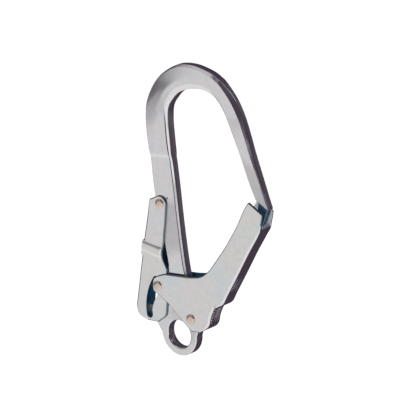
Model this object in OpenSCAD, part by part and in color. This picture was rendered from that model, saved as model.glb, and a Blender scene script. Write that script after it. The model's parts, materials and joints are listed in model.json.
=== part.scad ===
// Scaffold snap hook: a forged hook with an eye, a channel gate that swings into the throat,
// and a back lever that has to be squeezed before the gate's lock pin can travel down its slot.
// Origin at the centre of the eye's bore. +Z runs up the shank, +X points to the gate, Y is thickness.

/* [Hook body] */
// Radius of the eye's hole
eye_r = 11; // [9:0.5:12]
// Outer radius of the eye's ring
ring_r = 17; // [16:0.5:18]
// Thickness of the eye and the shank
body_t = 8; // [7:0.5:8.2]
// Thickness of the crown, the thickest forging
crown_t = 9.6; // [8.4:0.2:10]
// Thickness of the limb at its nose end
nose_t = 7; // [6:0.5:8]
// Thickness of the tongue that the gate closes over
tongue_t = 4.8; // [4:0.2:5.6]

/* [Gate] */
// Sheet thickness of the gate
gate_sheet = 1.5; // [1.2:0.1:1.6]
// Width over the gate's two cheeks
gate_w = 14.2; // [14.2:0.2:15]
// Radius of the lug that the gate turns on
lug_r = 10; // [8:0.5:10.4]
// How far the gate swings, in degrees
gate_swing = 33; // [10:1:33]

/* [Lock lever] */
// Sheet thickness of the lever
lever_sheet = 1.2; // [0.9:0.1:1.3]
// Width over the lever's two cheeks
lever_w = 10.8; // [10.6:0.1:10.8]
// Height of the pressed bead across each cheek
bead_h = 1; // [0.4:0.1:1.2]
// How far the slot runs on past the pin's last place, in degrees about the gate rivet
slot_run_on = 7; // [0:0.5:7]
// How far the lever squeezes in while the gate opens, in degrees
lever_swing = 2.97; // [2:0.01:3]

/* [Rivets and pin] */
// Radius of the gate rivet's shank
gate_rivet_r = 2.6; // [2:0.1:3]
// Radius of the lever rivet's shank
lever_rivet_r = 2.5; // [2:0.1:2.8]
// Radius of the lock pin where it runs in the slots
lock_pin_r = 2.9; // [2.4:0.1:2.9]
// Radius of every rivet head
head_r = 3.8; // [3.4:0.1:4]
// Height of every rivet head
head_h = 1.3; // [0.8:0.1:1.6]
// Running clearance of a joint, on the radius
run_gap = 0.05; // [0.02:0.01:0.1]

/* [Springs] */
// Wire radius of the two springs
wire_r = 0.35; // [0.25:0.05:0.35]
// Radius of the gate spring's coils
gate_coil_r = 6; // [5.5:0.25:7]
// Radius of the lever spring's coil
lever_coil_r = 3.6; // [3.4:0.1:3.9]

/* [Hidden] */
$fn = 64;

// The three axes, as [x, z]
gate_at = [15.9, 14.6];
pin_at = [-14, 37.9];
lever_at = [-5.3, 103.1];
pin_reach = norm(pin_at - gate_at);
pin_angle = atan2(pin_at.y - gate_at.y, pin_at.x - gate_at.x);
gate_in = gate_w / 2 - gate_sheet;
lever_in = lever_w / 2 - lever_sheet;
lever_ratio = lever_swing / gate_swing;
web_reach = 108.3;
recess_r = 4.7;
recess_deep = 1.1;
spigot_r = 2.2;

// Turns p about c, anticlockwise as seen from the front
function turned(p, c, a) = let (d = p - c)
    c + [d.x * cos(a) - d.y * sin(a), d.x * sin(a) + d.y * cos(a)];
function polar(c, r, a) = c + r * [cos(a), sin(a)];
function arc(c, r, a0, a1, n = 16) = [for (i = [0:n]) polar(c, r, a0 + (a1 - a0) * i / n)];
function flat(p) = [p.x, p.y];
function toward(a, b, d) = a + (b - a) * d / norm(b - a);

// Corners given as [x, z, setback] become blends that start a setback away from the corner.
// soft() closes the outline; soft_line() leaves its two ends as they are.
function blend(a, b, c, d, n = 5) = let (s = toward(b, a, d), e = toward(b, c, d))
    [for (i = [0:n]) let (t = i / n) (1 - t) * (1 - t) * s + 2 * t * (1 - t) * b + t * t * e];
function soft(v) = [
    for (i = [0:len(v) - 1])
        let (b = v[i], a = v[(i + len(v) - 1) % len(v)], c = v[(i + 1) % len(v)])
            each (b.z > 0 ? blend(flat(a), flat(b), flat(c), b.z) : [flat(b)])
];
function soft_line(v) = [
    for (i = [0:len(v) - 1])
        each (i > 0 && i < len(v) - 1 && v[i].z > 0
            ? blend(flat(v[i - 1]), flat(v[i]), flat(v[i + 1]), v[i].z) : [flat(v[i])])
];
// The same line moved sideways by d, to the left of its direction for d > 0
function side_step(v, d) = [
    for (i = [0:len(v) - 1])
        let (t = v[min(i + 1, len(v) - 1)] - v[max(i - 1, 0)])
            v[i] + d * [-t.y, t.x] / norm(t)
];
// A smooth curve through rows of numbers, with n steps from row to row
function between(p, q, r, s, t) = 0.5 * (2 * q + (r - p) * t
    + (2 * p - 5 * q + 4 * r - s) * t * t + (3 * q - p - 3 * r + s) * t * t * t);
function smooth(v, n) = concat(
    [for (i = [0:len(v) - 2], k = [0:n - 1])
        between(v[max(i - 1, 0)], v[i], v[i + 1], v[min(i + 2, len(v) - 1)], k / n)],
    [v[len(v) - 1]]
);

module plate(y0, y1) {
    translate([0, y1, 0]) rotate([90, 0, 0]) linear_extrude(y1 - y0) children();
}

module at(p, y = 0) {
    translate([p.x, y, p.y]) rotate([-90, 0, 0]) children();
}

module hole(p, r, half = 20) {
    at(p, -half) cylinder(r = r, h = 2 * half);
}

// ---- Hook body ----
// Stations up the shank, round the crown and down the limb:
// [outer x, outer z, inner x, inner z, half thickness, outer bevel, inner bevel]
bow = [
    [-10.7, 129, 8.9, 129, body_t / 2 - 0.8, 0.8, 0.8],
    [-11, 137, 9.5, 137, body_t / 2 + 0.2, 0.8, 1.2],
    [-11.4, 144, 9, 144.5, crown_t / 2 - 0.1, 1, 2],
    [-12.4, 156, 8.9, 156.5, crown_t / 2, 1, 2.4],
    [-12.3, 168, 9.2, 168, crown_t / 2, 1.2, 2.4],
    [-10.6, 180.2, 11.3, 179.3, crown_t / 2, 1.6, 2.6],
    [-5.5, 191, 16.8, 186.6, crown_t / 2, 1.8, 2.6],
    [1.7, 200.2, 23.4, 192.1, crown_t / 2, 1.8, 2.6],
    [11.4, 207.8, 31.2, 195, crown_t / 2, 1.4, 2.4],
    [24.7, 213.8, 39.2, 196.3, crown_t / 2, 0.8, 2.2],
    [40.1, 214.3, 47.4, 196.3, crown_t / 2, 0.6, 2],
    [54.9, 210.4, 54.9, 194.2, crown_t / 2, 0.6, 1.6],
    [62, 206.6, 58.4, 192, crown_t / 2, 0.9, 1.4],
    [67.3, 202.7, 61.2, 189.2, crown_t / 2, 1.9, 1.2],
    [76.4, 191.8, 65.6, 183, crown_t / 2 - 0.1, 3, 0.9],
    [82.1, 179.1, 69.3, 174.8, crown_t / 2 - 0.2, 2.6, 0.8],
    [85.7, 165, 73.6, 161.8, crown_t / 2 - 0.4, 2, 0.7],
    [89.5, 148, 79, 145.2, crown_t / 2 - 0.7, 1.6, 0.7],
    [94.6, 129.4, 84.2, 126.6, nose_t / 2 + 0.2, 1.3, 0.6],
    [100.2, 107.4, 88.4, 115.2, nose_t / 2, 1, 0.6]
];

// The eight corners of the section at one station
function ring(s) = let (
        o = [s[0], s[1]], i = [s[2], s[3]], h = s[4], b = s[5], c = s[6],
        ob = toward(o, i, b), ic = toward(i, o, c), ib = toward(i, o, 0.7)
    ) [
        [o.x, -h + b, o.y], [o.x, h - b, o.y], [ob.x, h, ob.y], [ib.x, h, ib.y],
        [i.x, h - 0.7, i.y], [i.x, -h + c * 0.6, i.y], [ic.x, -h, ic.y], [ob.x, -h, ob.y]
    ];

module bow_forging() {
    rows = smooth(bow, 4);
    last = len(rows) - 1;
    sides = [
        for (i = [0:last - 1], k = [0:7])
            let (a = i * 8 + k, b = i * 8 + (k + 1) % 8)
                each [[a, b, b + 8], [a, b + 8, a + 8]]
    ];
    ends = [[for (k = [7:-1:0]) k], [for (k = [0:7]) last * 8 + k]];
    polyhedron([for (r = rows) each ring(r)], concat(sides, ends), convexity = 6);
}

module shank_outline() {
    polygon(concat(
        soft_line([
            [-17, -1, 0], [-21.3, 7, 1.5], [-21.4, 11, 1.2], [-18.6, 14.2, 0]
        ]),
        arc(gate_at, pin_reach - lock_pin_r - 1, 179, 141, 12),
        soft_line([
            [-6.6, 41.4, 0], [-4.6, 46, 2], [-4.1, 52, 2], [-5.9, 72, 0], [-9.6, 100, 0], [-11, 114, 0],
            [-11.3, 129, 0], [-10.4, 139.5, 0], [7.9, 139.5, 0], [9.7, 129, 0], [10.1, 100, 0],
            [10.6, 80, 0], [11.3, 60, 4], [12.8, 46, 3], [20.5, 30.5, 4], [24.6, 20, 0]
        ]),
        [[25.4, 12], [19.4, 3.5], [17, -1]]
    ));
}

module tongue_outline() {
    polygon(concat(
        [[89, 124], [90.2, 112]],
        arc(gate_at, web_reach + 2.2, 49.6, 46.6, 4),
        soft_line([[92.8, 95.4, 0], [94.6, 98.6, 1.2], [99.4, 108, 2], [97, 118, 0]])
    ));
}

module hook_body() {
    color([0.74, 0.75, 0.76]) difference() {
        union() {
            bow_forging();
            plate(-body_t / 2, body_t / 2) union() {
                shank_outline();
                circle(r = ring_r);
                translate(gate_at) circle(r = lug_r);
            }
            plate(-tongue_t / 2, tongue_t / 2) tongue_outline();
        }
        hole([0, 0], eye_r);
        hole(gate_at, gate_rivet_r + 0.01);
        hole(lever_at, lever_rivet_r + 0.01);
        at(lever_at, -body_t / 2 - 1) cylinder(r = recess_r, h = recess_deep + 1);
    }
}

// ---- Gate ----
// The outer edge, from the top of the web down to the thumb lobe; the web follows it
gate_back = soft_line([
    [92.9, 90.8, 0], [89.2, 85.2, 2], [79.2, 72.1, 6], [65, 51.6, 0], [53.3, 35.3, 3],
    [48.2, 27.2, 5], [40.4, 26, 3.5], [35, 16.7, 3], [32.8, 8.7, 5], [23.1, 4.5, 0]
]);
gate_rim = concat(
    gate_back,
    [[16, 4.5], [13.2, 6], [9.6, 9.5], [6.1, 12.7]],
    soft_line([
        [2.5, 16.6, 0], [-5.5, 24.5, 2], [-14.5, 30.7, 1.5], [-19, 33, 1.6], [-19.6, 37, 1.5],
        [-18.2, 43.5, 2.4], [-12.4, 46.2, 2], [-5.9, 47.8, 1], [18, 47.7, 4], [30, 49, 5],
        [38.7, 55, 3], [56.7, 74.9, 0], [69.6, 91.7, 0], [79.2, 107.1, 2], [84.2, 113.3, 0.8],
        [97.2, 104.6, 1.4], [96.2, 100.6, 1], [94.4, 95.5, 0]
    ])
);

module gate_hollow() {
    inner = side_step(gate_back, -gate_sheet);
    top = inner[0];
    polygon(concat(
        [top + [20, 30]],
        [top + [3.6, 1.2]],
        inner,
        [[10, -10], [-40, 10], [-40, 80], [60, 140]]
    ));
}

module gate() {
    color([0.76, 0.76, 0.75]) difference() {
        plate(-gate_w / 2, gate_w / 2) polygon(gate_rim);
        plate(-gate_in, gate_in) gate_hollow();
        hole(gate_at, gate_rivet_r + run_gap);
        hole(pin_at, spigot_r + 0.01);
    }
}

// ---- Lock lever ----
// The back edge, from the heel of the foot up to the top; the web follows it
lever_back = soft_line([
    [-29.1, 8.4, 0], [-39, 11.6, 5], [-39.6, 19.5, 2], [-25.4, 72.7, 0], [-16.3, 103.1, 0]
]);
lever_rim = concat(
    lever_back,
    [[-15.2, 105.8]],
    arc(lever_at, 6.2, 118, -10, 10),
    soft_line([
        [-1.8, 88.7, 0], [-4.1, 79.5, 2], [-5.7, 71, 2], [-9.1, 62, 4],
        [-4.7, 51.4, 2], [-5.4, 40, 3], [-7.8, 23.8, 0], [-10, 13.4, 3], [-18.9, 8, 0]
    ])
);

module lever_hollow() {
    inner = side_step(lever_back, -lever_sheet);
    polygon(concat(
        [[-25, -5]],
        inner,
        [[-22, 104.6], [-13, 120], [20, 120], [20, -5]]
    ));
}

// Where the lock pin stands in the lever after the gate has turned by g
function pin_in_lever(g) = turned(turned(pin_at, gate_at, g), lever_at, -g * lever_ratio);

// The slot: its far side is an arc about the gate rivet, its near side follows the pin
module pin_slot(half) {
    gap = lock_pin_r + 0.2;
    foot = pin_in_lever(gate_swing);
    foot_angle = atan2(foot.y - gate_at.y, foot.x - gate_at.x);
    reach = norm(foot - gate_at);
    head = polar(gate_at, reach, 140);
    lean = atan2(pin_at.y - head.y, pin_at.x - head.x) + 90;
    end_angle = foot_angle + slot_run_on;
    path = [for (i = [1:12]) pin_in_lever(gate_swing * i / 13)];
    plate(-half, half) polygon(concat(
        arc(head, gap, 140, lean, 6),
        arc(pin_at, gap, lean, pin_angle - 180, 6),
        side_step(path, gap),
        arc(gate_at, reach - gap, foot_angle, end_angle, 4),
        arc(polar(gate_at, reach, end_angle), gap, end_angle - 180, end_angle - 350, 8),
        arc(gate_at, reach + gap, end_angle, 142, 12)
    ));
}

module bead_outline(inset) {
    polygon(soft([
        [-25.2, 72.2 - inset, 0.6], [-8.4 - inset, 68 - inset, 0.6],
        [-10.5 - inset, 56 + inset, 0.6], [-27.6, 61.1 + inset, 0.6]
    ]));
}

module lock_lever() {
    top = lever_w / 2 + bead_h;
    color([0.75, 0.75, 0.75]) difference() {
        union() {
            plate(-lever_w / 2, lever_w / 2) polygon(lever_rim);
            plate(-top, top) bead_outline(0);
        }
        plate(-lever_in, lever_in) lever_hollow();
        plate(-top + lever_sheet, top - lever_sheet) intersection() {
            bead_outline(lever_sheet);
            lever_hollow();
        }
        hole(lever_at, lever_rivet_r + run_gap);
        pin_slot(20);
    }
}

// ---- Rivets and pin ----
module dome(y, dir) {
    cap = (head_r * head_r + head_h * head_h) / (2 * head_h);
    translate([0, y, 0]) rotate([-90 * dir, 0, 0]) intersection() {
        translate([0, 0, head_h - cap]) sphere(r = cap);
        cylinder(r = head_r, h = head_h + 1);
    }
}

module rivet(p, r, half) {
    color([0.78, 0.69, 0.58]) translate([p.x, 0, p.y]) {
        translate([0, -half - 0.2, 0]) rotate([-90, 0, 0]) cylinder(r = r, h = 2 * half + 0.4);
        dome(half, 1);
        dome(-half, -1);
    }
}

module gate_rivet() {
    rivet(gate_at, gate_rivet_r, gate_w / 2 + 0.03);
}

module lever_rivet() {
    rivet(lever_at, lever_rivet_r, lever_w / 2 + 0.03);
}

module lock_pin() {
    rivet(pin_at, spigot_r, gate_w / 2);
    shoulder = gate_in - 0.02;
    color([0.78, 0.69, 0.58]) at(pin_at, -shoulder) cylinder(r = lock_pin_r, h = 2 * shoulder);
}

module gate_spacer(side) {
    gap = gate_in - body_t / 2 - 0.06;
    color([0.7, 0.71, 0.72]) difference() {
        at(gate_at, side * (body_t / 2 + gap / 2) - gap / 2) cylinder(r = 4.8, h = gap);
        hole(gate_at, gate_rivet_r + 0.01);
    }
}

module gate_spacer_front() {
    gate_spacer(-1);
}

module gate_spacer_back() {
    gate_spacer(1);
}

// ---- Springs ----
module wire(a, b) {
    d = b - a;
    translate(a) rotate([0, acos(d.z / norm(d)), atan2(d.y, d.x)]) {
        cylinder(r = wire_r * 0.9, h = norm(d), $fn = 16);
    }
}

module turn(p, y, r) {
    at(p, y) rotate_extrude() translate([r, 0]) circle(r = wire_r, $fn = 16);
}

// Two coils beside the lug; their legs lie on the body, and a bridge presses on the gate's web
module gate_spring() {
    mid = (body_t / 2 + gate_in) / 2;
    leg = polar(gate_at, gate_coil_r, 118);
    anchor = leg + [9, 5] * 0.8;
    start = polar(gate_at, gate_coil_r, -46);
    push = polar(gate_at, lug_r + 4.6, 20);
    color([0.6, 0.61, 0.63]) union() {
        for (s = [-1, 1]) {
            turn(gate_at, s * mid, gate_coil_r);
            wire([leg.x, s * mid, leg.y], [anchor.x, s * mid, anchor.y]);
            wire([start.x, s * mid, start.y], [push.x, s * mid, push.y]);
            translate([push.x, s * mid, push.y]) sphere(r = wire_r, $fn = 16);
        }
        wire([push.x, -mid, push.y], [push.x, mid, push.y]);
    }
}

// One coil in the recess under the lever's front cheek, with a leg out to each side
module lever_spring() {
    y = -body_t / 2 + recess_deep / 2 - 0.05;
    x = lever_at.x + lever_coil_r;
    color([0.45, 0.46, 0.48]) union() {
        turn(lever_at, y, lever_coil_r);
        wire([x, y, lever_at.y - 2], [x, y, lever_at.y + 2.2]);
    }
}

hook_body();
gate();
lock_lever();
gate_rivet();
lever_rivet();
lock_pin();
gate_spacer_front();
gate_spacer_back();
gate_spring();
lever_spring();
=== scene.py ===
import json
import math
import bmesh
import bpy
from mathutils import Matrix, Vector


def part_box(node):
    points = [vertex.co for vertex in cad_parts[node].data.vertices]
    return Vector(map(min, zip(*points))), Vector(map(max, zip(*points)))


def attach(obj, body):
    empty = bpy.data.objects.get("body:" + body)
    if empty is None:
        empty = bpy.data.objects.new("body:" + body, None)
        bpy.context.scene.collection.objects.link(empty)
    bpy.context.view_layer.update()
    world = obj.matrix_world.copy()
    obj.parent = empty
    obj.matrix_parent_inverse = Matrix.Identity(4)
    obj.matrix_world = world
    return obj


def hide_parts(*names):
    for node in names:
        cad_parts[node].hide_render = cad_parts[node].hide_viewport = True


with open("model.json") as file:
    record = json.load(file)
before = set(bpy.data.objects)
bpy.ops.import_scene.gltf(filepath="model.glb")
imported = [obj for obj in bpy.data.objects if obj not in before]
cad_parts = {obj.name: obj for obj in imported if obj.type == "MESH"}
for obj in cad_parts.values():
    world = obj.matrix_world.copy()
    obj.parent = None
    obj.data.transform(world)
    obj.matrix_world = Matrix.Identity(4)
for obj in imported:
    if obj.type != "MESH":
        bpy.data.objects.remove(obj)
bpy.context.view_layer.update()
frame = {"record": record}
MM = 0.001

# ---- Sizes, in millimetres ----
# The three axes, as (x, z), from the frame's own joints and its lock pin
JOINTS = {j["name"]: j for j in frame["record"]["behaviour"]["joints"]}


def hinge_at(name):
    """(x, z) of a hinge, in millimetres."""
    x, _, z = JOINTS[name]["pos_m"]
    return Vector((x / MM, z / MM))


def middle_of(node):
    """(x, z) of the middle of a CAD node's box, in millimetres."""
    low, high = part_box(node)
    return Vector(((low[0] + high[0]) / 2 / MM, (low[2] + high[2]) / 2 / MM))


def half_width(node):
    """Half of a CAD node's thickness, in millimetres."""
    low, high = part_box(node)
    return (high[1] - low[1]) / 2 / MM


GATE_AT = hinge_at("gate_hinge")
LEVER_AT = hinge_at("lever_hinge")
PIN_AT = middle_of("lock_pin")
GATE_SWING = JOINTS["gate_hinge"]["range_deg"][1]
LEVER_SWING = JOINTS["lever_hinge"]["range_deg"][1]
GATE_HALF = half_width("gate")
GATE_SHEET = 1.5
LEVER_SHEET = 1.2
BEAD_H = 1.0
LEVER_HALF = half_width("lock_lever") - BEAD_H
BODY_HALF = 4.0
CROWN_HALF = 4.8
TONGUE_HALF = 2.4
EYE_R = 11.0
RING_R = 17.0
LUG_R = 10.0
WEB_REACH = 108.3
TABLE_GLOW = 0.78
ROOM_GLOW = 0.42
ROOM_DARK = (0.068, 0.05, 0.075)
HEAD_R = 3.8
HEAD_H = 1.3
PIN_R = 2.9
SLOT_GAP = 0.2
SLOT_RUN_ON = 7  # degrees
GATE_SHANK_R = 2.6
LEVER_SHANK_R = 2.5
PIN_SHANK_R = 2.2
RUN_GAP = 0.05  # round a shank that turns in its hole
PRESS_GAP = 0.01  # round a shank that is fixed in its hole
THROUGH = 12  # half the length of a cutter that goes right through
SPRING_COIL_R = 3.6


# ---- Flat outlines, as lists of (x, z) ----
def polar(centre, r, degrees):
    a = math.radians(degrees)
    return centre + r * Vector((math.cos(a), math.sin(a)))


def arc(centre, r, start, end, n=24):
    return [polar(centre, r, start + (end - start) * i / n) for i in range(n + 1)]


def angle_of(v):
    return math.degrees(math.atan2(v.y, v.x))


def turned(p, centre, degrees):
    a = math.radians(degrees)
    d = p - centre
    c, s = math.cos(a), math.sin(a)
    return centre + Vector((d.x * c - d.y * s, d.x * s + d.y * c))


def toward(a, b, d):
    return a + (b - a).normalized() * d


def blended(a, b, c, d, n):
    """The corner b, rounded off from d before it to d after it."""
    s, e = toward(b, a, d), toward(b, c, d)
    steps = [i / n for i in range(n + 1)]
    return [(1 - t) ** 2 * s + 2 * t * (1 - t) * b + t * t * e for t in steps]


def soft(corners, n=8, closed=True):
    """Corners given as (x, z, setback), each blended over its setback."""
    flat = [Vector(c[:2]) for c in corners]
    out = []
    for i, corner in enumerate(corners):
        inside = closed or 0 < i < len(corners) - 1
        if corner[2] and inside:
            out += blended(flat[i - 1], flat[i], flat[(i + 1) % len(flat)], corner[2], n)
        else:
            out.append(flat[i])
    return out


def side_step(line, d):
    """The open line moved sideways by d, to its left for d > 0."""
    out = []
    for i, p in enumerate(line):
        t = (line[min(i + 1, len(line) - 1)] - line[max(i - 1, 0)]).normalized()
        out.append(p + d * Vector((-t.y, t.x)))
    return out


def resampled(line, step, closed=False):
    """Extra points on long straight stretches, so that no segment is longer than step."""
    ends = line[1:] + ([line[0]] if closed else [])
    out = []
    for a, b in zip(line, ends):
        count = max(1, math.ceil((b - a).length / step))
        out += [a.lerp(b, i / count) for i in range(count)]
    return out if closed else out + [line[-1]]


def distinct(line, gap=0.02):
    """The closed line without points that fall on each other."""
    return [p for i, p in enumerate(line) if (p - line[i - 1]).length > gap]


def smooth_rows(rows, n):
    """A Catmull-Rom curve through rows of numbers, with n steps from row to row."""
    out = []
    for i in range(len(rows) - 1):
        p, q = rows[max(i - 1, 0)], rows[i]
        r, s = rows[i + 1], rows[min(i + 2, len(rows) - 1)]
        for k in range(n):
            t = k / n
            out.append([
                0.5 * (2 * b + (c - a) * t + (2 * a - 5 * b + 4 * c - d) * t * t
                       + (3 * b - a - 3 * c + d) * t ** 3)
                for a, b, c, d in zip(p, q, r, s)
            ])
    return out + [list(rows[-1])]


# ---- Meshes ----
def mesh_object(name, bm):
    bmesh.ops.recalc_face_normals(bm, faces=bm.faces)
    mesh = bpy.data.meshes.new(name)
    bm.to_mesh(mesh)
    bm.free()
    obj = bpy.data.objects.new(name, mesh)
    bpy.context.scene.collection.objects.link(obj)
    return obj


def loft(name, rings, looped=False):
    """A skin over rings of (x, y, z) points in millimetres, capped unless the rings close up."""
    bm = bmesh.new()
    grid = [[bm.verts.new(Vector(p) * MM) for p in ring] for ring in rings]
    pairs = list(zip(grid, grid[1:] + grid[:1] if looped else grid[1:]))
    for low, high in pairs:
        for i in range(len(low)):
            j = (i + 1) % len(low)
            bm.faces.new((low[i], low[j], high[j], high[i]))
    if not looped:
        bm.faces.new(grid[0])
        bm.faces.new(grid[-1])
    return mesh_object(name, bm)


def inset(outline, distances):
    """The closed outline moved inward (it runs clockwise or not) by a distance at each point."""
    area = sum(a.x * b.y - b.x * a.y for a, b in zip(outline, outline[1:] + outline[:1]))
    turn = 1 if area > 0 else -1
    out = []
    for i, p in enumerate(outline):
        before = (p - outline[i - 1]).normalized()
        after = (outline[(i + 1) % len(outline)] - p).normalized()
        normal = Vector((-before.y - after.y, before.x + after.x)).normalized() * turn
        square = max(0.6, abs(normal.dot(Vector((-after.y, after.x)))))
        out.append(p + normal * distances[i] / square)
    return out


def slab(name, outline, half, edge, steps=4):
    """A plate of that outline between y = -half and half. edge is the rounding of its rim, a
    number or one for each point."""
    radii = edge if isinstance(edge, list) else [edge] * len(outline)
    widest = max(radii)
    quarter = [math.pi / 2 * k / steps for k in range(steps + 1)]
    levels = []
    for sign, angles in ((-1, quarter[::-1]), (1, quarter)):
        for a in angles:
            flat = inset(outline, [r * (1 - math.cos(a)) for r in radii])
            heights = [sign * (half - r * (1 - math.sin(a))) for r in radii]
            levels.append([(p.x, y, p.y) for p, y in zip(flat, heights)])
    if widest:
        rim = inset(outline, [r + 0.15 for r in radii])
        levels = [[(p.x, -half, p.y) for p in rim]] + levels + [[(p.x, half, p.y) for p in rim]]
    if widest == 0:
        levels = [levels[0], levels[-1]]
    return loft(name, levels)


def rod(name, at, r, low, high, sides=96):
    """A plain cylinder along Y."""
    ring = [polar(at, r, 360 * i / sides) for i in range(sides)]
    return loft(name, [[(p.x, y, p.y) for p in ring] for y in (low, high)])


def turning(name, at, profile, sides=96):
    """A turned solid about the Y axis through at. profile is (radius, y), from end to end."""
    rings = []
    for r, y in profile:
        rings.append([(p.x, y, p.y) for p in (polar(at, r, 360 * i / sides) for i in range(sides))])
    return loft(name, rings)


def tube(name, path, r, sides=16):
    """A round wire along a path of (x, y, z) points, in millimetres."""
    points = [Vector(p) for p in path]
    rings = []
    side = Vector((0, 1, 0))
    for i, p in enumerate(points):
        t = (points[min(i + 1, len(points) - 1)] - points[max(i - 1, 0)]).normalized()
        side = (side - t * side.dot(t)).normalized()
        up = t.cross(side)
        angles = [2 * math.pi * k / sides for k in range(sides)]
        rings.append([p + r * (math.cos(a) * side + math.sin(a) * up) for a in angles])
    return loft(name, rings)


def combine(obj, tool, operation):
    """Applies one exact boolean and drops the tool."""
    modifier = obj.modifiers.new("combine", "BOOLEAN")
    modifier.operation = operation
    modifier.object = tool
    modifier.solver = "EXACT"
    modifier.material_mode = "TRANSFER"
    graph = bpy.context.evaluated_depsgraph_get()
    mesh = bpy.data.meshes.new_from_object(obj.evaluated_get(graph))
    obj.modifiers.clear()
    obj.data = mesh
    bpy.data.objects.remove(tool)


def cut(obj, tool):
    combine(obj, tool, "DIFFERENCE")


def add(obj, tool):
    combine(obj, tool, "UNION")


def shade(obj, degrees=30):
    obj.data.polygons.foreach_set("use_smooth", [True] * len(obj.data.polygons))
    obj.data.set_sharp_from_angle(angle=math.radians(degrees))
    obj.data.update()


def paint(obj, material):
    """One material all over. A cutter that is painted leaves its paint on the faces it cuts."""
    obj.data.materials.clear()
    obj.data.materials.append(material)
    return obj


def repaint(obj, material, chosen, longest=60):
    """Another material on the faces that chosen(middle in millimetres, normal) picks, if they
    are no longer than longest."""
    obj.data.materials.append(material)
    slot = len(obj.data.materials) - 1
    for face in obj.data.polygons:
        corners = [obj.data.vertices[v].co for v in face.vertices]
        reach = max((c - corners[0]).length for c in corners) / MM
        if reach < longest and chosen(face.center / MM, face.normal):
            face.material_index = slot


def split(obj, at, across):
    """New edges where a plane through at, square to across, meets the piece."""
    bm = bmesh.new()
    bm.from_mesh(obj.data)
    everything = bm.verts[:] + bm.edges[:] + bm.faces[:]
    bmesh.ops.bisect_plane(bm, geom=everything, plane_co=Vector(at) * MM, plane_no=across)
    bm.to_mesh(obj.data)
    bm.free()


def off_line(line, spot, gap):
    """Whether a spot is farther than gap from every point of the line, seen along Y."""
    return all((p - Vector((spot.x, spot.z))).length > gap for p in line)


def dress(obj, material, body, *nodes):
    """Gives a piece its material and its body, and hides the CAD nodes that it stands for."""
    if material:
        paint(obj, material)
    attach(obj, body)
    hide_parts(*nodes)


# ---- Materials ----
class Nodes:
    """A short way to wire one material's nodes."""

    def __init__(self, name):
        self.material = bpy.data.materials.new(name)
        self.material.use_nodes = True
        self.tree = self.material.node_tree
        self.shader = self.tree.nodes["Principled BSDF"]
        self.place = self.new("ShaderNodeTexCoord").outputs["Object"]

    def new(self, kind, **values):
        node = self.tree.nodes.new(kind)
        for key, value in values.items():
            setattr(node, key, value)
        return node

    def link(self, a, b):
        self.tree.links.new(a, b)

    def noise(self, scale, detail=3, stretch=None):
        node = self.new("ShaderNodeTexNoise")
        node.inputs["Scale"].default_value = scale
        node.inputs["Detail"].default_value = detail
        source = self.place
        if stretch:
            mapping = self.new("ShaderNodeMapping")
            mapping.inputs["Scale"].default_value = stretch
            self.link(source, mapping.inputs["Vector"])
            source = mapping.outputs["Vector"]
        self.link(source, node.inputs["Vector"])
        return node.outputs["Fac"]

    def ramp(self, value, stops):
        node = self.new("ShaderNodeValToRGB")
        ramp = node.color_ramp
        while len(ramp.elements) < len(stops):
            ramp.elements.new(0.5)
        for element, (at, colour) in zip(ramp.elements, stops):
            element.position = at
            element.color = (*colour, 1)
        self.link(value, node.inputs["Fac"])
        return node.outputs["Color"]

    def span(self, value, low, high, start=0.3, end=0.7):
        node = self.new("ShaderNodeMapRange")
        for key, number in (("From Min", start), ("From Max", end), ("To Min", low), ("To Max", high)):
            node.inputs[key].default_value = number
        self.link(value, node.inputs["Value"])
        return node.outputs["Result"]

    def mix(self, a, b, amount, blend="MIX"):
        node = self.new("ShaderNodeMix", data_type="RGBA", blend_type=blend)
        if isinstance(amount, float):
            node.inputs["Factor"].default_value = amount
        else:
            self.link(amount, node.inputs["Factor"])
        self.link(a, node.inputs["A"])
        self.link(b, node.inputs["B"])
        return node.outputs["Result"]

    def bump(self, height, strength, distance, after=None):
        node = self.new("ShaderNodeBump")
        node.inputs["Strength"].default_value = strength
        node.inputs["Distance"].default_value = distance
        self.link(height, node.inputs["Height"])
        if after is not None:
            self.link(after, node.inputs["Normal"])
        return node.outputs["Normal"]


def zinc(name, colour, rough, cloud, waves, grain=1.0, metal=1.0, streaks=0.0):
    """Bright zinc plate: pastel clouds in the passivation, fine draw marks, and a soft waviness.
    cloud is how strong the pastel tint is, waves the height of the long waves in metres, and
    streaks the roughness added in bands that run along the piece."""
    n = Nodes(name)
    base = Vector(colour)
    tints = [(0.955, 1.0, 1.03), (1.0, 1.0, 1.0), (1.035, 0.985, 0.985), (0.985, 1.02, 0.99)]
    stops = [
        (at, tuple(base * (1 - cloud) + cloud * Vector([b * t for b, t in zip(base, tint)])))
        for at, tint in zip((0.3, 0.45, 0.58, 0.72), tints)
    ]
    clouds = n.ramp(n.noise(30, 1), stops)
    dull = n.ramp(n.noise(260, 5), [(0.35, (0.965, 0.965, 0.97)), (0.6, (1.0, 1.0, 1.0))])
    n.link(n.mix(clouds, dull, 1.0, "MULTIPLY"), n.shader.inputs["Base Color"])
    roughness = n.span(n.noise(170, 4), rough - 0.04, rough + 0.05)
    if streaks:
        both = n.new("ShaderNodeMath", operation="ADD")
        n.link(roughness, both.inputs[0])
        n.link(n.span(n.noise(450, 1, stretch=(0.04, 1, 0.04)), 0.0, streaks, 0.5, 0.6), both.inputs[1])
        roughness = both.outputs["Value"]
    n.link(roughness, n.shader.inputs["Roughness"])
    n.shader.inputs["Metallic"].default_value = metal
    long_waves = n.bump(n.noise(28, 1), 1.0, waves)
    marks = n.bump(n.noise(900, 3, stretch=(1, 1, 0.18)), 0.12 * grain, 0.00002, long_waves)
    n.link(marks, n.shader.inputs["Normal"])
    return n.material


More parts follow.
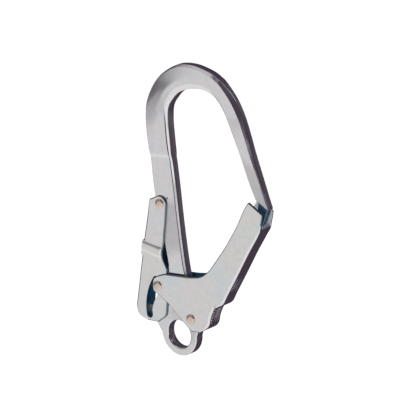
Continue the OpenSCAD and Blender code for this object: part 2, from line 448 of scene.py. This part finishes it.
def wire_steel():
    """Drawn spring wire: darker, with marks along it."""
    n = Nodes("spring_wire")
    marks = n.ramp(n.noise(500, 4), [(0.3, (0.3, 0.31, 0.33)), (0.7, (0.5, 0.5, 0.52))])
    n.link(marks, n.shader.inputs["Base Color"])
    n.link(n.span(n.noise(800, 3), 0.25, 0.42), n.shader.inputs["Roughness"])
    n.shader.inputs["Metallic"].default_value = 1.0
    n.link(n.bump(n.noise(2400, 2), 0.3, 0.00002), n.shader.inputs["Normal"])
    return n.material


# ---- Hook body ----
# Stations up the shank, round the crown and down the limb: outer x, z, inner x, z, half
# thickness, draft (how much thinner the outer edge is), outer bevel, and for the inner edge
# the step down from the face, and the bevel's width and depth
SHANK = [
    (-4.3, 43, 13.4, 43, BODY_HALF, 0, 0.8, 0.1, 1.0, 1.0),
    (-4.1, 54, 11.9, 54, BODY_HALF, 0, 0.8, 0.85, 1.4, 1.5),
    (-5.9, 72, 10.9, 72, BODY_HALF, 0, 0.8, 0.85, 1.4, 1.5),
    (-8.8, 94, 10.3, 94, BODY_HALF, 0, 0.8, 0.85, 1.4, 1.5),
    (-11.0, 114, 10.1, 114, BODY_HALF, 0, 0.8, 0.85, 1.4, 1.5),
    (-11.1, 133, 9.6, 133, BODY_HALF, 0, 0.8, 0.85, 1.4, 1.5),
    (-11.1, 139, 9.2, 139.2, BODY_HALF + 0.05, 0, 0.8, 0.55, 1.2, 1.4),
]
CROWN = [
    (-11.3, 142, 9.0, 142.5, CROWN_HALF - 0.15, 0, 0.8, 0.8, 1.2, 1.6),
    (-12.0, 149, 8.9, 149, CROWN_HALF, 0.2, 0.8, 1.2, 1.6, 1.9),
    (-12.4, 157, 8.9, 157, CROWN_HALF, 0.3, 0.8, 1.2, 1.7, 1.9),
    (-12.3, 168, 9.2, 168, CROWN_HALF, 0.6, 0.8, 1.0, 1.6, 1.8),
    (-10.6, 180.2, 11.3, 179.3, CROWN_HALF, 1.0, 0.8, 0.15, 3.0, 1.5),
    (-5.5, 191.0, 16.8, 186.6, CROWN_HALF, 1.4, 0.8, 0, 4.6, 1.4),
    (1.7, 200.2, 23.4, 192.1, CROWN_HALF, 1.4, 0.9, 0, 5.2, 1.3),
    (11.4, 207.75, 31.2, 195.0, CROWN_HALF, 0.9, 1.2, 0, 5.2, 1.2),
    (24.7, 213.75, 39.2, 196.3, CROWN_HALF, 0.5, 1.7, 0, 5.0, 1.1),
    (40.1, 214.25, 47.4, 196.3, CROWN_HALF, 0.2, 1.9, 0, 4.2, 1.0),
    (54.9, 210.35, 54.9, 194.2, CROWN_HALF, 0.1, 2.0, 0, 3.2, 0.9),
    (62.0, 206.6, 58.4, 192.0, CROWN_HALF, 0, 2.2, 0, 2.6, 0.8),
    (67.3, 202.7, 61.2, 189.2, CROWN_HALF, 0, 2.5, 0, 2.2, 0.7),
    (76.4, 191.8, 65.6, 183.0, CROWN_HALF - 0.1, 0, 3.0, 0, 1.4, 0.5),
    (82.1, 179.1, 69.3, 174.8, CROWN_HALF - 0.2, 0, 2.6, 0, 0.9, 0.4),
    (85.7, 165.0, 73.6, 161.8, CROWN_HALF - 0.4, 0, 2.0, 0, 0.7, 0.4),
    (89.5, 148.0, 79.0, 145.2, CROWN_HALF - 0.7, 0, 1.6, 0, 0.6, 0.4),
    (94.6, 129.4, 84.2, 126.6, CROWN_HALF - 1.1, 0, 1.3, 0, 0.6, 0.4),
    (100.2, 107.4, 88.4, 115.2, CROWN_HALF - 1.3, 0, 1.0, 0, 0.6, 0.4),
]


def station(row):
    """One section of the forging, with its corners eased."""
    outer, inner = Vector(row[0:2]), Vector(row[2:4])
    half, draft, bevel, step, wide, deep = row[4:]
    width = (inner - outer).length
    corners = [
        (0, half - draft - bevel, 0.2), (bevel, half - draft, 0.2), (width * 0.55, half, 1.8),
        (width - wide - 0.1, half, 0), (width - wide, half - step, 0), (width, half - deep, 0.4),
        (width, 0.7 - half, 0.3), (width - 0.7, -half, 0.3),
        (bevel, draft - half, 0.2), (0, draft + bevel - half, 0.2),
    ]
    along = (inner - outer).normalized()
    return [(*(outer + along * p.x), -p.y) for p in soft(corners, 7)]


def bow_forging():
    rings = [[(x, y, z) for x, z, y in station(row)] for row in smooth_rows(SHANK + CROWN, 9)]
    return loft("hook_body_forging", rings)


def foot_outline():
    """The eye's ring, the lug round the gate rivet and the foot of the shank."""
    clear = (PIN_AT - GATE_AT).length - PIN_R - 1
    ring = arc(Vector((0, 0)), RING_R, 357, 183, 48)
    heel = soft([(-17.4, 0.5, 0), (-21.3, 7, 2.4), (-21.4, 11, 1.2), (-18.6, 14.2, 0)], closed=False)
    bay = arc(GATE_AT, clear, 179, 141, 16)
    neck = soft([(-6.6, 41.4, 0), (-4.6, 46, 2), (-4.3, 54, 0)], closed=False)
    front = soft([(10, 54, 0), (13.2, 43.5, 3), (20.5, 30.5, 5), (24.6, 20, 0)], closed=False)
    lug = arc(GATE_AT, LUG_R, 22, -32, 12)
    return distinct(ring + heel + bay + neck + front + lug + [Vector((20.2, 5.2)), Vector((18.4, 2.4))])


def tongue_outline():
    end = arc(GATE_AT, WEB_REACH + 2.2, 49.6, 46.4, 8)
    outer = soft([(93.9, 97.2, 0), (94.6, 98.6, 1.2), (99.4, 108, 2), (97, 118, 0)], closed=False)
    return distinct([Vector((89, 124)), Vector((90.2, 112))] + end + outer)


def flared_bore(name, at, r, half, flare):
    """A cutter for a hole whose two mouths are rounded."""
    steps = [math.pi / 2 * k / 5 for k in range(6)]
    mouth = [(r + flare * (1 - math.cos(a)), half - flare * (1 - math.sin(a))) for a in steps]
    back = [(r + flare, half + 2)]
    profile = [(radius, -y) for radius, y in reversed(mouth + back)] + mouth + back
    return turning(name, at, profile, 128)


def hook_body(forged, nose_painted_shade):
    foot = resampled(foot_outline(), 3, closed=True)
    body = paint(slab("hook_body", foot, BODY_HALF - 0.02, 0.9, 9), forged)
    add(body, paint(bow_forging(), forged))
    # Painted shade: the tongue takes the dark blue material.
    add(body, paint(slab("tongue", tongue_outline(), TONGUE_HALF, 0.5), nose_painted_shade))
    cut(body, flared_bore("eye_bore", Vector((0, 0)), EYE_R, BODY_HALF, 1.1))
    cut(body, rod("rivet_bore", GATE_AT, GATE_SHANK_R + PRESS_GAP, -THROUGH, THROUGH))
    cut(body, rod("lever_bore", LEVER_AT, LEVER_SHANK_R + PRESS_GAP, -THROUGH, THROUGH))
    cut(body, rod("spring_recess", LEVER_AT, 4.7, -9, -BODY_HALF + 1.1))
    shade(body, 12)
    return body


# ---- Channels: the gate and the lever ----
def paint_edge_shade(piece, back, half, sheet, edge):
    """Paints the sheared edges of a bent sheet, all but those where it bends into the web, with a dark
    material: painted shade along the edge faces and their rounding.
    """
    def shaded_edge_face(spot, normal):
        flank = half - sheet - 0.05 < abs(spot.y) < half + 0.01
        return flank and abs(normal.y) < 0.995 and off_line(back, spot, 3)
    repaint(piece, edge, shaded_edge_face, 40)


def rim_edges(rim, web_points, bend, plain=0.8):
    """The rounding at each rim point: the bend's radius along the web, a small break elsewhere."""
    radii = []
    for i in range(len(rim)):
        depth = min(i, web_points - 1 - i)
        share = min(1.0, max(0.0, depth / 4)) if i < web_points else 0.0
        radii.append(plain + (bend - plain) * share)
    return radii


GATE_BACK = resampled(soft([
    (92.9, 90.8, 0), (89.2, 85.2, 3), (79.2, 72.1, 6), (65, 51.6, 4), (53.3, 35.3, 3),
    (48.2, 27.2, 5), (40.4, 26, 3.5), (35, 16.7, 3), (32.8, 8.7, 5), (23.1, 4.5, 0),
], closed=False), 2.0)
GATE_FRONT = [Vector((16, 4.5)), Vector((13.2, 6)), Vector((9.6, 9.5)), Vector((6.1, 12.7))] + soft([
    (2.5, 16.6, 0), (-5.5, 24.5, 2), (-14.5, 30.7, 1.5), (-19, 33, 1.6), (-19.6, 37, 1.5),
    (-18.2, 43.5, 2.4), (-12.4, 46.2, 2), (-5.9, 47.8, 1), (18, 47.7, 4), (30, 49, 5),
    (38.7, 55, 3), (56.7, 74.9, 4), (69.6, 91.7, 4), (79.2, 107.1, 2), (84.2, 113.3, 1.5),
    (97.2, 104.6, 1.4), (96.2, 100.6, 1), (94.4, 95.5, 0),
], closed=False)


def channel_hollow(name, back, sheet, half, bend, far):
    """What is cut from a solid plate to leave two cheeks and a web along back."""
    inner = side_step(back, -sheet)
    outline = inner + far
    edges = [bend if 0 < i < len(inner) - 1 else 0.05 for i in range(len(outline))]
    return slab(name, outline, half, edges)


def spot_on(line, start, distance):
    """The point at that distance along an open line from its point nearest to start, and the
    outward normal there."""
    i = min(range(len(line)), key=lambda k: (line[k] - start).length)
    while i < len(line) - 2 and distance > (line[i + 1] - line[i]).length:
        distance -= (line[i + 1] - line[i]).length
        i += 1
    t = (line[i + 1] - line[i]).normalized()
    return line[i] + t * distance, Vector((-t.y, t.x))


def grip(start, length, reach, pitch, high, crossed):
    """A pad of slanted ridges that follows the web; crossed adds the other slant, for a knurl."""
    step = pitch / 8
    rows, columns = int(length / step), int(2 * reach / step)
    rings = []
    for i in range(rows + 1):
        spot, outward = spot_on(GATE_BACK, start, i * step)
        ring = []
        for k in range(columns + 1):
            y = -reach + 2 * reach * k / columns
            ridge = max(0, 1 - 4 * abs((i * step + y) / pitch % 1 - 0.5))
            if crossed:
                ridge = max(ridge, 1 - 4 * abs((i * step - y) / pitch % 1 - 0.5))
            rim = min(i, rows - i, k, columns - k) > 0
            p = spot + outward * (high * ridge if rim else -0.1)
            ring.append((p.x, y, p.y))
        under = spot - outward * 0.4
        ring += [(under.x, reach, under.y), (under.x, -reach, under.y)]
        rings.append(ring)
    return loft("grip", rings)


def gate(sheet, inside, edge, painted_light, knurl):
    rim = GATE_BACK + GATE_FRONT
    piece = paint(slab("gate", rim, GATE_HALF, rim_edges(rim, len(GATE_BACK), 2.0)), sheet)
    top = side_step(GATE_BACK, -GATE_SHEET)[0]
    far = [Vector(p) for p in ((10, -10), (-40, 10), (-40, 80), (60, 140))]
    far += [top + Vector((20, 30)), top + Vector((3.6, 1.2))]
    hollow = channel_hollow("gate_hollow", GATE_BACK, GATE_SHEET, GATE_HALF - GATE_SHEET, 0.7, far)
    # Painted shade: the faces this hollow cuts (insides of the cheeks and web) take the dark blue inside
    # material.
    cut(piece, paint(hollow, inside))
    cut(piece, rod("gate_bore", GATE_AT, GATE_SHANK_R + RUN_GAP, -THROUGH, THROUGH))
    cut(piece, rod("pin_bore", PIN_AT, PIN_SHANK_R + PRESS_GAP, -THROUGH, THROUGH))
    add(piece, paint(grip(Vector((64, 51)), 14, GATE_HALF - 2.4, 2.2, 0.3, False), knurl))
    add(piece, paint(grip(Vector((39.5, 24.5)), 13.5, GATE_HALF - 2.2, 2.4, 0.4, True), knurl))
    paint_edge_shade(piece, GATE_BACK, GATE_HALF, GATE_SHEET, edge)
    # Painted light: the inside of the far cheek near the gate's tip takes the pale lit material.
    split(piece, (87, 0, 87), (0.6, 0, 0.8))
    repaint(piece, painted_light, lambda spot, n: n.y < -0.3 and spot.y > 0 and 0.6 * spot.x + 0.8 * spot.z > 121.8)
    shade(piece, 30)
    return piece


LEVER_BACK = resampled(soft([
    (-29.1, 8.4, 0), (-39, 11.6, 5), (-39.6, 19.5, 2), (-25.4, 72.7, 0), (-16.3, 103.1, 0),
], closed=False), 2.0)


def lever_outline():
    top = [Vector((-15.2, 105.8))] + arc(LEVER_AT, 6.2, 118, -10, 20)
    front = soft([
        (-1.8, 88.7, 0), (-4.1, 79.5, 2), (-5.7, 71, 2), (-9.1, 62, 4), (-4.7, 51.4, 2),
        (-5.4, 40, 3), (-7.8, 23.8, 0), (-10, 13.4, 3), (-18.9, 8, 0),
    ], closed=False)
    return LEVER_BACK + top + front


def bead(name, half, sunk):
    """The pressed bead across both cheeks: it swells out slowly from the top and drops off short
    at the bottom. sunk is the wall left when the same shape is pressed from inside."""
    top = (Vector((-26.2, 72.6)), Vector((-8.0 - sunk, 68.2)))
    foot = (Vector((-29.2, 60.9)), Vector((-10.2 - sunk, 55.9)))
    bump = [(t / 16, (1 - abs(t / 8 - 1) ** 2.6) ** 0.6) for t in range(17)]
    swell = [(0.74 * t, rise) for t, rise in bump if t < 0.95] + [(0.76, 0.42), (0.975, 0.38), (1, 0)]
    rings = []
    for side in range(len(swell)):
        at, rise = swell[side]
        left, right = top[0].lerp(foot[0], at), top[1].lerp(foot[1], at)
        y = half + BEAD_H * rise
        ends = [(left.x, -y + 0.5), (left.x + 0.5, -y), (right.x - 0.8, -y), (right.x, -y + 0.6)]
        ends += [(x, -depth) for x, depth in reversed(ends)]
        slope = (right.y - left.y) / (right.x - left.x)
        rings.append([(x, depth, left.y + slope * (x - left.x)) for x, depth in ends])
    return loft(name, rings)


def pin_in_lever(turn):
    """Where the lock pin stands in the lever after the gate has turned by that many degrees."""
    return turned(turned(PIN_AT, GATE_AT, turn), LEVER_AT, -turn * LEVER_SWING / GATE_SWING)


def slot_cutter():
    gap = PIN_R + SLOT_GAP
    foot = pin_in_lever(GATE_SWING)
    foot_angle = angle_of(foot - GATE_AT) % 360
    reach = (foot - GATE_AT).length
    head = polar(GATE_AT, reach, 140)
    lean = angle_of(PIN_AT - head) + 90
    path = [pin_in_lever(GATE_SWING * i / 25) for i in range(1, 25)]
    end_angle = foot_angle + SLOT_RUN_ON
    outline = arc(head, gap, 140, lean, 10)
    outline += arc(PIN_AT, gap, lean, angle_of(PIN_AT - GATE_AT) - 180, 10)
    outline += side_step(path, gap)
    outline += arc(GATE_AT, reach - gap, foot_angle, end_angle, 6)
    outline += arc(polar(GATE_AT, reach, end_angle), gap, end_angle - 180, end_angle - 355, 14)
    outline += arc(GATE_AT, reach + gap, end_angle, 141, 24)
    return slab("slot_cutter", distinct(outline), THROUGH, 0.0)


def lock_lever(sheet, inside, edge, painted_light):
    rim = lever_outline()
    piece = paint(slab("lock_lever", rim, LEVER_HALF, rim_edges(rim, len(LEVER_BACK), 1.7)), sheet)
    add(piece, bead("bead_skin", LEVER_HALF - 0.02, 0))
    far = [Vector(p) for p in ((-22, 104.6), (-13, 120), (20, 120), (20, -5), (-25, -5))]
    hollow = channel_hollow("lever_hollow", LEVER_BACK, LEVER_SHEET, LEVER_HALF - LEVER_SHEET, 0.5, far)
    # Painted shade: the faces this hollow cuts (insides of the cheeks and web) take the dark blue inside
    # material.
    cut(piece, paint(hollow, inside))
    cut(piece, rod("lever_rivet_bore", LEVER_AT, LEVER_SHANK_R + RUN_GAP, -THROUGH, THROUGH))
    cut(piece, slot_cutter())
    paint_edge_shade(piece, LEVER_BACK, LEVER_HALF, LEVER_SHEET, edge)
    # Painted light: the inside of the far cheek below z = 18, seen through the slot, takes the pale lit
    # material.
    split(piece, (0, 0, 18), (0, 0, 1))
    repaint(piece, painted_light, lambda spot, n: n.y < -0.1 and spot.y > 0 and spot.z < 18)
    shade(piece, 30)
    return piece


# ---- Rivets, spacers and springs ----
def rivet(name, at, shank_r, half, shoulder=None):
    """A shank with a domed head each end; shoulder is (radius, half length) of a thicker middle."""
    brim = [(0, 0.12), (0.05, 0.5), (0.25, 0.8), (0.7, 1.02), (1.5, 1.16), (2.5, 1.26), (3.55, HEAD_H)]
    dome = [(HEAD_R - inward, half + up) for inward, up in brim]
    middle = [(shoulder[0], shoulder[1]), (shank_r, shoulder[1] + 0.01)] if shoulder else [(shank_r, 0.1)]
    side = middle + [(shank_r, half), (HEAD_R - 0.15, half)] + dome
    profile = [(r, -y) for r, y in reversed(side)] + side
    piece = turning(name, at, profile)
    shade(piece, 40)
    return piece


def spacer(name):
    low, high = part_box(name)
    near, away = low[1] / MM, high[1] / MM
    piece = turning(name, GATE_AT, [(4.6, near), (4.8, near + 0.2), (4.8, away - 0.2), (4.6, away)])
    cut(piece, rod("spacer_bore", GATE_AT, GATE_SHANK_R + PRESS_GAP, -THROUGH, THROUGH))
    shade(piece, 40)
    return piece


def coil(at, r, y0, y1, start, turns, steps=40):
    count = int(turns * steps)
    out = []
    for i in range(count + 1):
        p = polar(at, r, start + 360 * turns * i / count)
        out.append((p.x, y0 + (y1 - y0) * i / count, p.y))
    return out


def gate_spring():
    """Two coils beside the lug, joined by the bridge that pushes on the gate's web."""
    wire = 0.33
    push = polar(GATE_AT, LUG_R + 4.6, 20)
    half = []
    for side in (-1, 1):
        wound = coil(GATE_AT, 6, side * 5.1, side * 4.4, -75, 1.5)
        tail = Vector(wound[-1]) + Vector((6, 0, 3.5))
        half.append([(push.x, side * 5.1, push.y)] + wound + [tuple(tail)])
    path = half[0][::-1] + half[1]
    piece = tube("gate_spring", path, wire)
    shade(piece, 60)
    return piece


def lever_spring():
    """A coil between the body and the lever's front cheek. Its end stays behind the cheek until it
    is past the cheek's rounded top corner, and then curls forward."""
    wire = 0.35
    wound = coil(LEVER_AT, SPRING_COIL_R, -3.5, -3.78, 200, 1.6)
    end = [(LEVER_AT.x + 4.4, -3.8, LEVER_AT.y + 2.6), (LEVER_AT.x + 6.0, -3.84, LEVER_AT.y + 3.05)]
    curl = [(p.x, -4.3, p.y) for p in arc(LEVER_AT + Vector((6.4, 4.2)), 0.7, -80, 120, 8)]
    piece = tube("lever_spring", wound + end + curl, wire)
    shade(piece, 60)
    return piece


# ---- Studio ----
def card(name, at, size, facing, colour, glow=0.0, seen=False):
    """A flat card in the studio. It isn't part of the object."""
    bm = bmesh.new()
    w, h = size[0] / 2, size[1] / 2
    bm.faces.new([bm.verts.new(c) for c in ((-w, -h, 0), (w, -h, 0), (w, h, 0), (-w, h, 0))])
    mesh = bpy.data.meshes.new(name)
    bm.to_mesh(mesh)
    bm.free()
    obj = bpy.data.objects.new(name, mesh)
    bpy.context.scene.collection.objects.link(obj)
    obj.location = at
    obj.rotation_euler = Vector(facing).to_track_quat("Z", "Y").to_euler()
    n = Nodes(name)
    n.shader.inputs["Base Color"].default_value = (*colour, 1)
    n.shader.inputs["Roughness"].default_value = 0.9
    n.shader.inputs["Emission Color"].default_value = (*colour, 1)
    n.shader.inputs["Emission Strength"].default_value = glow
    mesh.materials.append(n.material)
    obj.visible_camera = seen
    return obj


def studio_world():
    """A white table in front and a dark room behind, which bright plate needs to look like metal.
    The camera itself sees only the pale backdrop."""
    world = bpy.data.worlds.new("studio")
    world.use_nodes = True
    tree = world.node_tree
    link = tree.links.new
    split = tree.nodes.new("ShaderNodeSeparateXYZ")
    link(tree.nodes.new("ShaderNodeTexCoord").outputs["Generated"], split.inputs["Vector"])

    def step(axis, start, end, low, high):
        node = tree.nodes.new("ShaderNodeMapRange")
        node.interpolation_type = "SMOOTHSTEP"
        for key, number in (("From Min", start), ("From Max", end), ("To Min", low), ("To Max", high)):
            node.inputs[key].default_value = number
        link(split.outputs[axis] if isinstance(axis, str) else axis, node.inputs["Value"])
        return node.outputs["Result"]

    def math_node(operation, a, b):
        node = tree.nodes.new("ShaderNodeMath")
        node.operation = operation
        for socket, value in zip(node.inputs, (a, b)):
            if isinstance(value, float):
                socket.default_value = value
            else:
                link(value, socket)
        return node.outputs["Value"]

    front = step("Y", 0.2, -0.3, 0.0, 1.0)
    slant = math_node("ADD", split.outputs["Z"], math_node("MULTIPLY", split.outputs["X"], -0.8))
    low = math_node("MULTIPLY", step(slant, 0.56, 0.33, 0.0, 1.0), step("Z", 0.05, -0.1, 0.0, 1.0))
    low = math_node("MULTIPLY", low, step("X", -0.35, 0.15, TABLE_GLOW, 1.5))
    low = math_node("MULTIPLY", low, step("Z", -0.32, -0.6, 1.0, 1.2))
    room = math_node("MULTIPLY", step("X", 0.2, -0.2, 0.02, ROOM_GLOW), step("Z", -0.2, 0.06, 0.0, 1.0))
    room = math_node("MULTIPLY", room, step("Z", 0.4, 0.7, 0.6, 1.5))
    bright = math_node("MULTIPLY", front, math_node("ADD", low, room))
    lamp = math_node("MULTIPLY", step("Z", 0.5, 0.62, 0.0, 1.3), step("X", 0.5, 0.64, 0.0, 1.0))
    lamp = math_node("MULTIPLY", lamp, step("Y", -0.45, -0.3, 0.0, 1.0))
    window = math_node("MULTIPLY", step("X", 0.5, 0.58, 0.0, 0.07), step("X", 0.7, 0.62, 0.0, 1.0))
    lamp = math_node("ADD", lamp, math_node("MULTIPLY", window, step("Y", 0.4, 0.6, 0.0, 1.0)))
    bright = math_node("ADD", bright, lamp)
    tone = tree.nodes.new("ShaderNodeMix")
    tone.data_type = "RGBA"
    tone.inputs["A"].default_value = (*ROOM_DARK, 1)
    tone.inputs["B"].default_value = (1.0, 1.0, 1.0, 1)
    link(bright, tone.inputs["Factor"])
    seen = tree.nodes.new("ShaderNodeMix")
    seen.data_type = "RGBA"
    seen.inputs["B"].default_value = (0.97, 0.97, 0.97, 1)
    link(tree.nodes.new("ShaderNodeLightPath").outputs["Is Camera Ray"], seen.inputs["Factor"])
    link(tone.outputs["Result"], seen.inputs["A"])
    link(seen.outputs["Result"], tree.nodes["Background"].inputs["Color"])
    bpy.context.scene.world = world


def area_light(name, at, size, power, colour=(1, 1, 1)):
    data = bpy.data.lights.new(name, "AREA")
    data.size, data.energy, data.color = size, power, colour
    obj = bpy.data.objects.new(name, data)
    obj.location = at
    obj.rotation_euler = (Vector((0.03, 0, 0.1)) - Vector(at)).to_track_quat("-Z", "Y").to_euler()
    obj.visible_glossy = False
    bpy.context.scene.collection.objects.link(obj)
    return obj


def studio():
    studio_world()
    floor = card("floor", (0, 0, -0.3), (16, 16), (0, 0, 1), (0.94, 0.94, 0.94), 0.82, True)
    floor.visible_glossy = False
    area_light("top", (-0.4, -0.5, 1.6), 1.2, 12)
    bpy.context.scene.view_settings.view_transform = "Standard"


def camera():
    """A long lens far off, looking at the hook from its right and a little above."""
    lens, sensor = 600, 36
    view_width = 0.3108
    aim_right, aim_up = 0.0185, 0.0989
    back = Vector((0.638, -0.725, 0.258)).normalized()
    right = Vector((0.764, 0.638, -0.0955)).normalized()
    up = back.cross(right)
    middle = Vector((0, -BODY_HALF, 0)) * MM + right * aim_right + up * aim_up
    data = bpy.data.cameras.new("camera")
    data.lens, data.sensor_width = lens, sensor
    data.clip_start, data.clip_end = 0.01, 50
    obj = bpy.data.objects.new("camera", data)
    place = Matrix((right, up, back)).transposed().to_4x4()
    place.translation = middle + back * view_width * lens / sensor
    obj.matrix_world = place
    bpy.context.scene.collection.objects.link(obj)
    bpy.context.scene.camera = obj


def build():
    forged = zinc("forged_zinc", (0.74, 0.745, 0.755), 0.15, 0.8, 0.00006, streaks=0.3)
    sheet = zinc("sheet_zinc", (0.76, 0.765, 0.76), 0.2, 1.0, 0.00003)
    heads = zinc("rivet_zinc", (0.72, 0.6, 0.5), 0.22, 0.8, 0.00002)
    # Painted shade: a dark blue for the insides of the channels, standing in for the shade and dark
    # reflections between the cheeks.
    inside = zinc("painted_shade_inside_zinc", (0.11, 0.34, 0.5), 0.3, 0.8, 0.00002, metal=0.5)
    # Painted shade: a dark steel blue for the tongue, standing in for the shade and dark reflection it
    # sits in between the gate's cheeks.
    nose_painted_shade = zinc("painted_shade_nose_zinc", (0.15, 0.27, 0.36), 0.25, 0.8, 0.00002, metal=0.8)
    # Painted light: a pale, non-metal material that makes shaded inner faces of the far cheeks read as
    # lit.
    painted_light = zinc("painted_light_inner_cheek_zinc", (0.93, 0.94, 0.94), 0.4, 0.5, 0.00002, metal=0.0)
    # Painted shade: a dark material for the sheet edges, standing in for the thin shaded lines along
    # them.
    edge = zinc("painted_shade_edge_zinc", (0.2, 0.24, 0.27), 0.3, 0.8, 0.00002)
    knurl = zinc("knurl_zinc", (0.7, 0.68, 0.7), 0.08, 0.8, 0.00002)
    plain = zinc("spacer_zinc", (0.66, 0.67, 0.68), 0.3, 0.6, 0.00002)
    spring = wire_steel()
    dress(hook_body(forged, nose_painted_shade), None, "hook", "hook_body")
    dress(gate(sheet, inside, edge, painted_light, knurl), None, "gate", "gate")
    dress(lock_lever(sheet, inside, edge, painted_light), None, "lever", "lock_lever")
    dress(rivet("gate_rivet", GATE_AT, GATE_SHANK_R, GATE_HALF + 0.03), heads, "hook", "gate_rivet")
    dress(rivet("lever_rivet", LEVER_AT, LEVER_SHANK_R, LEVER_HALF + 0.03), heads, "hook", "lever_rivet")
    shoulder = (PIN_R, GATE_HALF - GATE_SHEET - 0.02)
    dress(rivet("lock_pin", PIN_AT, PIN_SHANK_R, GATE_HALF, shoulder), heads, "gate", "lock_pin")
    for name in ("gate_spacer_front", "gate_spacer_back"):
        dress(spacer(name), plain, "hook", name)
    dress(gate_spring(), spring, "hook", "gate_spring")
    dress(lever_spring(), spring, "hook", "lever_spring")


build()
studio()
camera()
